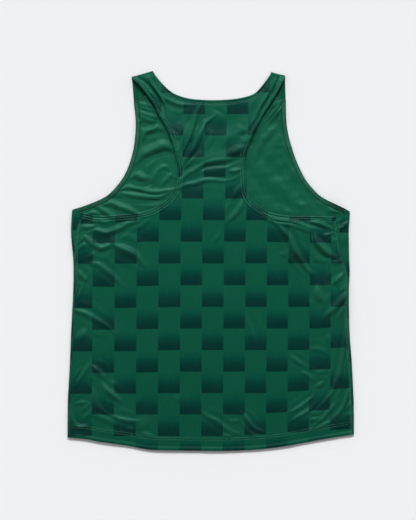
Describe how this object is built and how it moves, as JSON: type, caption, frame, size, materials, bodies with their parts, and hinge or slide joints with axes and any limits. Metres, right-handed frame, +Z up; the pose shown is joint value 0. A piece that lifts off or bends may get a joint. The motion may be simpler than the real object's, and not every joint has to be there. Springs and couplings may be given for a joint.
{
  "type": "running singlet",
  "caption": "Racerback running singlet laid flat with its back up: two sewn cloth panels, narrow straps folded over at the shoulders, scooped neck and deep armholes.",
  "frame": {"origin": "bottom centre of the bounding box, on the surface that the singlet lies on", "axes": "+X to the right as the back is seen, +Y from the hem to the neck, +Z up from the surface"},
  "size_m": [0.5335, 0.7078, 0.0081],
  "materials": {
    "printed_tricot": "satin",
    "plain_tricot": "satin"
  },
  "bodies": {
    "root": {"back_panel": "printed_tricot", "front_panel": "plain_tricot"}
  },
  "joints": []
}
